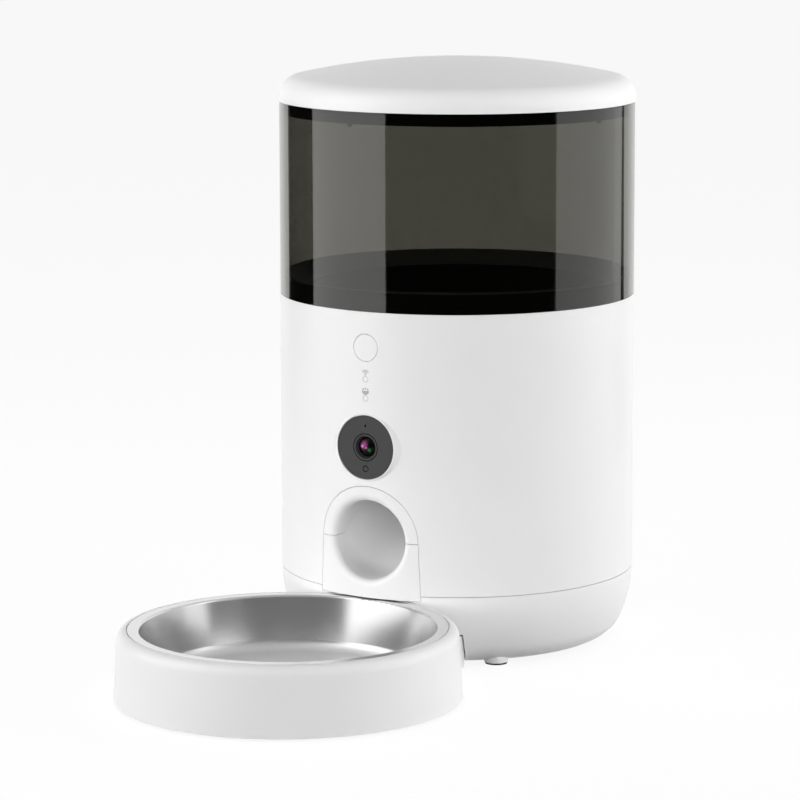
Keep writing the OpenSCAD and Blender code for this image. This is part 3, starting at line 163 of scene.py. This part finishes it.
fill = add(tree, "ShaderNodeMath", {"operation": "MULTIPLY"},
           {0: low_fill.outputs[0], 1: right_fill.outputs[0]})
paths = add(tree, "ShaderNodeLightPath")
dull = add(tree, "ShaderNodeMix", {"data_type": "FLOAT"},
           {0: paths.outputs["Is Glossy Ray"], 2: fill.outputs[0], 3: mirrored.outputs[0]})
clear = add(tree, "ShaderNodeMix", {"data_type": "FLOAT"},
            {0: paths.outputs["Is Transmission Ray"], 2: dull.outputs[0], 3: through.outputs[0]})
seen = add(tree, "ShaderNodeMix", {"data_type": "FLOAT"},
           {0: paths.outputs["Is Camera Ray"], 2: clear.outputs[0], 3: 1.0})
room_light = add(tree, "ShaderNodeBackground", None,
                 {"Color": (1, 1, 1, 1), "Strength": seen.outputs[0]})
add(tree, "ShaderNodeOutputWorld", None, {"Surface": room_light.outputs[0]})

# The floor is white to the camera and keeps the shadow. Gloss shows it white close by and
# towards the backdrop, and grey elsewhere, and it throws only a little light back up.
paper_reach = 0.75
paper_own_light = 0.8
floor_size = 30
below_the_pads = -0.3 * MM
bpy.ops.mesh.primitive_plane_add(size=floor_size, location=(0, 0, below_the_pads))
floor = bpy.context.object
floor.name = "floor"
sweep, tree = bare_material("white_paper_sweep")
paper_seen = add(tree, "ShaderNodeBsdfDiffuse", None, {"Color": linear("#f6f6f6")})
paper_glow = add(tree, "ShaderNodeEmission", None, {"Color": (1, 1, 1, 1), "Strength": 1.1})
paper_bounce = add(tree, "ShaderNodeBsdfDiffuse", None, {"Color": linear("#242424")})
studio_floor = add(tree, "ShaderNodeBsdfDiffuse", None, {"Color": linear("#282828")})
paper_white = add(tree, "ShaderNodeMixShader", None,
                  {0: paper_own_light, 1: paper_seen.outputs[0], 2: paper_glow.outputs[0]})
spot = add(tree, "ShaderNodeTexCoord").outputs["Object"]
off_centre = add(tree, "ShaderNodeVectorMath", {"operation": "LENGTH"}, {0: spot})
on_paper = add(tree, "ShaderNodeMath", {"operation": "LESS_THAN"},
               {0: off_centre.outputs["Value"], 1: paper_reach})
turned = add(tree, "ShaderNodeVectorMath", {"operation": "NORMALIZE"}, {0: spot})
bearing = add(tree, "ShaderNodeVectorMath", {"operation": "DOT_PRODUCT"},
              {0: turned.outputs[0], 1: backwards})
behind = add(tree, "ShaderNodeMath", {"operation": "GREATER_THAN"},
             {0: bearing.outputs["Value"], 1: edge})
white_here = add(tree, "ShaderNodeMath", {"operation": "MAXIMUM"},
                 {0: on_paper.outputs[0], 1: behind.outputs[0]})
paths = add(tree, "ShaderNodeLightPath")
past_smoke = add(tree, "ShaderNodeMath", {"operation": "MAXIMUM"},
                 {0: paths.outputs["Is Glossy Ray"], 1: paths.outputs["Is Transmission Ray"]})
mirrored_floor = add(tree, "ShaderNodeMixShader", None,
                     {0: white_here.outputs[0], 1: studio_floor.outputs[0],
                      2: paper_white.outputs[0]})
unseen_floor = add(tree, "ShaderNodeMixShader", None,
                   {0: past_smoke.outputs[0], 1: paper_bounce.outputs[0],
                    2: mirrored_floor.outputs[0]})
paper = add(tree, "ShaderNodeMixShader", None,
            {0: paths.outputs["Is Camera Ray"], 1: unseen_floor.outputs[0],
             2: paper_white.outputs[0]})
add(tree, "ShaderNodeOutputMaterial", None, {"Surface": paper.outputs[0]})
floor.data.materials.append(sweep)

# Each lamp faces the feeder's axis: its bearing, distance, lowest edge, width, height, power
feeder_y = 0.0838
for name, turn, away, low, wide, high, power in (
        ("soft_box_left", -134, 1.1, 0.0, 1.22, 1.5, 8.9),
        ("soft_box_right", 36.5, 1.1, 0.0, 1.40, 1.5, 7.1),
        ("side_lamp", -3, 1.7, 0.45, 1.3, 0.6, 1.1)):
    lamp_data = bpy.data.lights.new(name, "AREA")
    lamp_data.shape = "RECTANGLE"
    lamp_data.size = wide
    lamp_data.size_y = high
    lamp_data.energy = power
    lamp = bpy.data.objects.new(name, lamp_data)
    aside = Vector((math.cos(math.radians(turn)), math.sin(math.radians(turn)), 0))
    lamp.location = Vector((0, feeder_y, low + high / 2)) + away * aside
    lamp.rotation_euler = (math.radians(90), 0, math.radians(turn + 90))
    bpy.context.scene.collection.objects.link(lamp)


# ---- White mouldings
# Lid, body, base, chute halves, button and bowl holder are ABS, injection moulded in polished
# tools with a fine satin finish: neutral white, soft broad highlights, no texture to the eye.

def moulded(name, colour, roughness, grain_mm, grain_height_mm, ior=1.5):
    """A moulded plastic: even colour, gloss that varies a little, and the tool's fine grain."""
    cloud_mm = 35
    material, tree = bare_material(name)
    place = add(tree, "ShaderNodeTexCoord").outputs["Object"]
    cloud = add(tree, "ShaderNodeTexNoise", None,
                {"Vector": place, "Scale": 1 / (cloud_mm * MM), "Detail": 2.0})
    shade = add(tree, "ShaderNodeMapRange", None,
                {0: cloud.outputs[0], 1: 0.3, 2: 0.7, 3: 0.985, 4: 1.0})
    tint = add(tree, "ShaderNodeMix", {"data_type": "RGBA", "blend_type": "MULTIPLY"},
               {0: 1.0, 6: linear(colour), 7: shade.outputs[0]})
    gloss = add(tree, "ShaderNodeMapRange", None,
                {0: cloud.outputs[0], 1: 0.3, 2: 0.7, 3: roughness - 0.02, 4: roughness + 0.02})
    grain = add(tree, "ShaderNodeTexNoise", None,
                {"Vector": place, "Scale": 1 / (grain_mm * MM), "Detail": 1.0})
    bump = add(tree, "ShaderNodeBump", None,
               {"Height": grain.outputs[0], "Distance": grain_height_mm * MM, "Strength": 0.5})
    shell = add(tree, "ShaderNodeBsdfPrincipled", None,
                {"Base Color": tint.outputs[2], "Roughness": gloss.outputs[0], "IOR": ior,
                 "Normal": bump.outputs[0]})
    add(tree, "ShaderNodeOutputMaterial", None, {"Surface": shell.outputs[0]})
    return material


def finish(material, *names):
    """Gives CAD nodes their material."""
    for name in names:
        slots = cad[name].material_slots
        if not slots:
            cad[name].data.materials.append(material)
        for slot in slots:
            slot.material = material


# Grain of 1.2 mm is coarser than the tool's real 0.3 mm, so that a little of it can show
abs_white = moulded("abs_white_satin", "#f4f4f4", 0.34, 1.2, 0.012, 1.53)
finish(abs_white, "lid_shell", "body_shell", "base_pan", "chute_upper", "chute_lower",
       "button_cap", "bowl_holder", "battery_door")

# The base's and the chute's curves are drawn in short steps in the CAD model. Each is copied as
# one closed skin, whose shading runs smoothly over every edge that is blunter than the limit.
weld = 0.002 * MM
for node, piece_name, limit in (("base_pan", "base_moulding", 24),
                                ("chute_upper", "chute_upper_moulding", 34),
                                ("chute_lower", "chute_lower_moulding", 34)):
    skin = bpy.data.objects.new(piece_name, cad[node].data.copy())
    bpy.context.scene.collection.objects.link(skin)
    skin.select_set(True)
    bpy.context.view_layer.objects.active = skin
    bpy.ops.mesh.customdata_custom_splitnormals_clear()
    bpy.ops.object.mode_set(mode="EDIT")
    bpy.ops.mesh.select_all(action="SELECT")
    bpy.ops.mesh.remove_doubles(threshold=weld)
    bpy.ops.object.mode_set(mode="OBJECT")
    bpy.ops.object.shade_smooth_by_angle(angle=math.radians(limit))
    even = skin.modifiers.new("even", "WEIGHTED_NORMAL")
    even.keep_sharp = True
    bpy.ops.object.modifier_apply(modifier=even.name)
    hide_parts(node)
    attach(skin, "feeder")
    skin.select_set(False)


# ---- Black and grey mouldings
# Plug ring, funnel, baffle and deck are polypropylene, black through, with a dull tool finish.
# The rotor is grey, and the gearbox and its wheels are pale engineering plastics.

pp_black = moulded("polypropylene_black_dull", "#121212", 0.5, 0.9, 0.02, 1.49)
finish(pp_black, "lid_plug", "desiccant_tray", "desiccant_cover", "hopper_floor",
       "strike_baffle", "deck", "camera_bracket", "button_switch", "switch_plunger",
       "position_switch", "food_sensors", "power_jack", "microphone", "speaker")
rotor_grey = moulded("acetal_grey_rotor", "#8c8e90", 0.42, 0.9, 0.015, 1.48)
finish(rotor_grey, "rotor", "rotor_clip")
case_grey = moulded("abs_pale_grey_gearbox", "#c9c9c5", 0.45, 0.9, 0.02, 1.53)
finish(case_grey, "gearbox_case", "gearbox_cover")
acetal = moulded("acetal_natural_gears", "#e4dfd0", 0.38, 0.7, 0.01, 1.48)
finish(acetal, "first_gear", "second_gear", "output_gear")


# ---- Rubber
# Feet, pads, lid seal and the agitator's fingers are soft dark rubber with the fine matt skin
# of their moulds. The collar between the hopper's tube and its funnel is grey silicone.

rubber = moulded("rubber_dark_matt", "#2a2a2a", 0.75, 0.6, 0.03, 1.52)
finish(rubber, "rubber_feet", "holder_pads", "lid_seal", "agitator")
silicone = moulded("silicone_grey_collar", "#8a8a88", 0.5, 0.8, 0.01, 1.43)
finish(silicone, "floor_gasket")


# ---- Steel and brass hardware
# Screws, shafts, axles and spring contacts are plated or drawn steel. The motor's pinion is
# turned brass. All are bright with fine turning marks.

def turned_metal(name, colour, roughness, mark_mm):
    """A turned or drawn metal with fine marks across its length."""
    material, tree = bare_material(name)
    place = add(tree, "ShaderNodeTexCoord").outputs["Object"]
    marks = add(tree, "ShaderNodeTexWave", {"wave_type": "BANDS", "bands_direction": "Z"},
                {"Vector": place, "Scale": 1 / (mark_mm * MM), "Distortion": 1.5})
    gloss = add(tree, "ShaderNodeMapRange", None,
                {0: marks.outputs[1], 1: 0.0, 2: 1.0, 3: roughness - 0.05, 4: roughness + 0.05})
    bump = add(tree, "ShaderNodeBump", None,
               {"Height": marks.outputs[1], "Distance": 0.005 * MM, "Strength": 0.4})
    metal = add(tree, "ShaderNodeBsdfPrincipled", None,
                {"Base Color": linear(colour), "Metallic": 1.0, "Roughness": gloss.outputs[0],
                 "Normal": bump.outputs[0]})
    add(tree, "ShaderNodeOutputMaterial", None, {"Surface": metal.outputs[0]})
    return material


zinc_steel = turned_metal("zinc_plated_steel", "#b4b6b8", 0.3, 0.5)
finish(zinc_steel, "deck_screws", "chute_screws", "camera_screws", "gearbox_screws",
       "board_screws", "base_screws", "motor_shaft", "gear_axles", "drive_motor",
       "battery_contacts")
brass = turned_metal("brass_turned", "#d8b468", 0.28, 0.4)
finish(brass, "motor_pinion")


# ---- Circuit boards
# Glass-fibre boards with green solder mask over copper tracks, and black chips, sockets and
# capacitors on the main one.

track_mm = 9
mask, mask_tree = bare_material("solder_mask_green")
mask_place = add(mask_tree, "ShaderNodeTexCoord").outputs["Object"]
tracks = add(mask_tree, "ShaderNodeTexBrick", {"offset": 0.37, "squash": 1.6},
             {"Vector": mask_place, "Scale": 1 / (track_mm * MM), "Color1": linear("#17452a"),
              "Color2": linear("#1c4f31"), "Mortar": linear("#2f6e47"), "Mortar Size": 0.03})
mask_shell = add(mask_tree, "ShaderNodeBsdfPrincipled", None,
                 {"Base Color": tracks.outputs[0], "Roughness": 0.3, "IOR": 1.55})
add(mask_tree, "ShaderNodeOutputMaterial", None, {"Surface": mask_shell.outputs[0]})
finish(mask, "camera_board", "control_board", "main_board")
chip_black = moulded("epoxy_black_chips", "#1b1b1c", 0.55, 0.5, 0.02, 1.55)
finish(chip_black, "board_parts")


# ---- Hopper
# The tube is a clear styrene copolymer tinted smoky olive, moulded and highly polished. It lets
# about a tenth of the light through each wall and mirrors the soft boxes.

flow_mm = 60
smoke, smoke_tree = bare_material("styrene_smoked_clear")
smoke_place = add(smoke_tree, "ShaderNodeTexCoord").outputs["Object"]
flow = add(smoke_tree, "ShaderNodeTexNoise", None,
           {"Vector": smoke_place, "Scale": 1 / (flow_mm * MM), "Detail": 1.0})
streaks = add(smoke_tree, "ShaderNodeMapRange", None,
              {0: flow.outputs[0], 1: 0.3, 2: 0.7, 3: 0.97, 4: 1.0})
tint = add(smoke_tree, "ShaderNodeMix", {"data_type": "RGBA", "blend_type": "MULTIPLY"},
           {0: 1.0, 6: linear("#8c8b84"), 7: streaks.outputs[0]})
flow_bump = add(smoke_tree, "ShaderNodeBump", None,
                {"Height": flow.outputs[0], "Distance": 0.002 * MM, "Strength": 0.3})
tube = add(smoke_tree, "ShaderNodeBsdfPrincipled", None,
           {"Base Color": tint.outputs[2], "Roughness": 0.02, "IOR": 1.55,
            "Transmission Weight": 1.0, "Normal": flow_bump.outputs[0]})
add(smoke_tree, "ShaderNodeOutputMaterial", None, {"Surface": tube.outputs[0]})
finish(smoke, "hopper_shell")


# ---- Camera
# A dark grey disc of ABS sits flush in the white bevel. It has a pinhole for the microphone, a
# coned ring round the coated glass, and a small light sensor below.

disc_grey = moulded("abs_dark_grey_disc", "#343434", 0.5, 0.8, 0.01, 1.53)
finish(disc_grey, "camera_plate", "lens_ring", "light_sensor")
finish(pp_black, "lens_barrel")

# The coating's reflections are painted into the glass's colour as soft patches: magenta with a
# pale edge at the upper left, green at the lower right and a small painted gleam. Each has its
# place across and up from the glass's middle and its radius, in millimetres.
coated, coated_tree = bare_material("glass_lens_painted_reflections")
lens_middle = (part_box("camera_lens")[0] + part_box("camera_lens")[1]) / 2
coated_place = add(coated_tree, "ShaderNodeTexCoord").outputs["Object"]
from_middle = add(coated_tree, "ShaderNodeMapping", {"vector_type": "POINT"},
                  {"Vector": coated_place, "Location": -lens_middle})
glass_and_painted_glints = linear("#08080a")
for colour, patch_x, patch_z, patch_r in (
        ("#a8408c", -1.4, 1.0, 3.2), ("#d8b8cc", -2.4, 0.4, 1.1),
        ("#2c7a44", 1.9, -1.5, 1.5), ("#f0e4c8", 0.2, -0.3, 0.5)):
    shifted = add(coated_tree, "ShaderNodeVectorMath", {"operation": "SUBTRACT"},
                  {0: from_middle.outputs[0], 1: (patch_x * MM, 0, patch_z * MM)})
    flat = add(coated_tree, "ShaderNodeVectorMath", {"operation": "MULTIPLY"},
               {0: shifted.outputs[0], 1: (1, 0, 1)})
    off = add(coated_tree, "ShaderNodeVectorMath", {"operation": "LENGTH"}, {0: flat.outputs[0]})
    spread = add(coated_tree, "ShaderNodeMapRange", {"interpolation_type": "SMOOTHSTEP"},
                 {0: off.outputs["Value"], 1: 0.0, 2: patch_r * MM, 3: 1.0, 4: 0.0})
    mixed = add(coated_tree, "ShaderNodeMix", {"data_type": "RGBA"},
                {0: spread.outputs[0], 6: glass_and_painted_glints, 7: linear(colour)})
    glass_and_painted_glints = mixed.outputs[2]
# The glass's own gloss is kept faint, since its reflections are painted into its colour above
coated_shell = add(coated_tree, "ShaderNodeBsdfPrincipled", None,
                   {"Base Color": glass_and_painted_glints, "Roughness": 0.12, "IOR": 1.6,
                    "Specular IOR Level": 0.06, "Coat Weight": 0.05, "Coat Roughness": 0.03})
add(coated_tree, "ShaderNodeOutputMaterial", None, {"Surface": coated_shell.outputs[0]})
finish(coated, "camera_lens")


# ---- Status lights
# Two milky acrylic pins end flush with the body's face, in front of the lamps on the control
# board. Unlit, they look almost as white as the body.

acrylic = moulded("acrylic_milky_pins", "#fdfdfc", 0.2, 0.8, 0.005, 1.49)
finish(acrylic, "light_guides", "status_leds")

# Two plain symbols are pad-printed above the lights in pale grey ink: waves for the link and a
# bowl of food. Each is a skin of ink 0.05 mm proud of the curved face.
# The same grey also makes the rings of painted shade round the lights
grey_ink_and_gap_shade = moulded("pad_print_ink_and_painted_gap_shade", "#b2b2b2", 0.45, 0.5, 0.005, 1.5)
ink_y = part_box("light_guides")[0].y
ink_depth = 0.1 * MM
wave_line = 0.4 * MM
wave_foot_z = 0.1588
wave_turn = math.radians(50)
wave_dot_r = 0.4 * MM
for wave_r in (1.0 * MM, 1.75 * MM, 2.5 * MM):
    bpy.ops.mesh.primitive_plane_add(
        size=1, rotation=(0, -wave_turn, 0),
        location=(wave_r * math.sin(wave_turn), ink_y, wave_foot_z + wave_r * math.cos(wave_turn)))
    bpy.context.object.scale = (wave_line, ink_depth, 1)
    bpy.ops.object.transform_apply(location=True, rotation=True, scale=True)
    bpy.ops.object.mode_set(mode="EDIT")
    bpy.ops.mesh.select_all(action="SELECT")
    bpy.ops.mesh.spin(steps=12, angle=2 * wave_turn, center=(0, ink_y, wave_foot_z),
                      axis=(0, 1, 0))
    bpy.ops.object.mode_set(mode="OBJECT")
    bpy.context.object.name = "wave_stroke"
bpy.ops.mesh.primitive_cylinder_add(vertices=20, radius=wave_dot_r, depth=ink_depth,
                                    location=(0, ink_y, wave_foot_z),
                                    rotation=(math.radians(90), 0, 0))
wave_dot = bpy.context.object
for stroke in bpy.data.objects:
    stroke.select_set(stroke.name.startswith("wave_stroke") or stroke is wave_dot)
bpy.ops.object.join()
link_symbol = wave_dot
link_symbol.name = "link_symbol"

# A fine grey ring runs round each light: painted shade for the shadowed gap between the pin and
# the body. It takes the symbols' grey ink material and is as proud as the symbols
ring_r = 1.55 * MM
ring_line_r = 0.13 * MM
ring_sunk = 0.08 * MM
for light_z in (0.1564, 0.1461):
    bpy.ops.mesh.primitive_torus_add(major_radius=ring_r, minor_radius=ring_line_r,
                                     major_segments=48, minor_segments=10,
                                     location=(0, ink_y + ring_sunk, light_z),
                                     rotation=(math.radians(90), 0, 0))
    bpy.context.object.name = "light_outline_%d" % round(light_z * 10000)

# The food symbol is the lower half of a disc, with three pellets over it
bowl_mark_z = 0.1502
bowl_mark_r = 2.2 * MM
pellet_r = 0.5 * MM
bpy.ops.mesh.primitive_cylinder_add(vertices=40, radius=bowl_mark_r, depth=ink_depth,
                                    location=(0, ink_y, bowl_mark_z),
                                    rotation=(math.radians(90), 0, 0))
bowl_mark = bpy.context.object
bpy.ops.object.transform_apply(location=True, rotation=True, scale=True)
bpy.ops.object.mode_set(mode="EDIT")
bpy.ops.mesh.select_all(action="SELECT")
bpy.ops.mesh.bisect(plane_co=(0, ink_y, bowl_mark_z), plane_no=(0, 0, 1), use_fill=True,
                    clear_outer=True)
bpy.ops.object.mode_set(mode="OBJECT")
for pellet_x, pellet_z in ((-1.35, 0.8), (0, 1.15), (1.35, 0.8)):
    bpy.ops.mesh.primitive_cylinder_add(
        vertices=16, radius=pellet_r, depth=ink_depth, rotation=(math.radians(90), 0, 0),
        location=(pellet_x * MM, ink_y, bowl_mark_z + pellet_z * MM))
    bpy.context.object.name = "pellet_stroke"
for stroke in bpy.data.objects:
    stroke.select_set(stroke.name.startswith("pellet_stroke") or stroke is bowl_mark)
bpy.context.view_layer.objects.active = bowl_mark
bpy.ops.object.join()
bowl_mark.name = "food_symbol"

gap_shade_rings = [o for o in bpy.data.objects if o.name.startswith("light_outline")]
for symbol in (link_symbol, bowl_mark, *gap_shade_rings):
    bpy.ops.object.select_all(action="DESELECT")
    symbol.select_set(True)
    bpy.context.view_layer.objects.active = symbol
    bpy.ops.object.transform_apply(location=True, rotation=True, scale=True)
    bpy.ops.object.mode_set(mode="EDIT")
    bpy.ops.mesh.select_all(action="SELECT")
    bpy.ops.mesh.normals_make_consistent(inside=False)
    bpy.ops.object.mode_set(mode="OBJECT")
    symbol.data.materials.clear()
    symbol.data.materials.append(grey_ink_and_gap_shade)
    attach(symbol, "feeder")
bpy.ops.object.select_all(action="DESELECT")


# ---- Steel bowl
# Spun stainless steel of 0.9 mm with a flat lip. It was blasted to a satin, so highlights are
# broad and soft with a fine sparkle, and the floor is duller than the wall.

# Grain of 0.8 mm is coarser than the real grit's marks of about 0.1 mm, so that it can show
grit_mm = 0.8
grit_roughness = 0.06
wall_roughness = 0.19
floor_roughness = 0.6
corner_foot = 1 * MM
corner_head = 7 * MM
satin_steel, satin_tree = bare_material("stainless_satin_blasted")
satin_place = add(satin_tree, "ShaderNodeTexCoord").outputs["Object"]
blast = add(satin_tree, "ShaderNodeTexNoise", None,
            {"Vector": satin_place, "Scale": 1 / (grit_mm * MM), "Detail": 2.0})
blast_bump = add(satin_tree, "ShaderNodeBump", None,
                 {"Height": blast.outputs[0], "Distance": 0.01 * MM, "Strength": 0.5})
height = add(satin_tree, "ShaderNodeSeparateXYZ", None, {0: satin_place}).outputs[2]
floor_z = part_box("steel_bowl")[0].z
duller_and_painted_paler_floor = add(satin_tree, "ShaderNodeMapRange", {"interpolation_type": "SMOOTHSTEP"},
                   {0: height, 1: floor_z + corner_foot, 2: floor_z + corner_head,
                    3: floor_roughness, 4: wall_roughness})
blast_gloss = add(satin_tree, "ShaderNodeMath", {"operation": "MULTIPLY_ADD"},
                  {0: blast.outputs[0], 1: grit_roughness, 2: duller_and_painted_paler_floor.outputs[0]})
# The floor is painted paler than the wall, up to white: a painted sheen for the brighter soft
# reflection of its rougher steel
floor_painted_sheen = add(satin_tree, "ShaderNodeMix", {"data_type": "RGBA"},
                  {0: duller_and_painted_paler_floor.outputs[0], 6: linear("#d4d4d4"), 7: linear("#ffffff")})
satin_metal = add(satin_tree, "ShaderNodeBsdfPrincipled", None,
                  {"Base Color": floor_painted_sheen.outputs[2], "Metallic": 1.0,
                   "Roughness": blast_gloss.outputs[0], "Normal": blast_bump.outputs[0]})
add(satin_tree, "ShaderNodeOutputMaterial", None, {"Surface": satin_metal.outputs[0]})
finish(satin_steel, "steel_bowl")
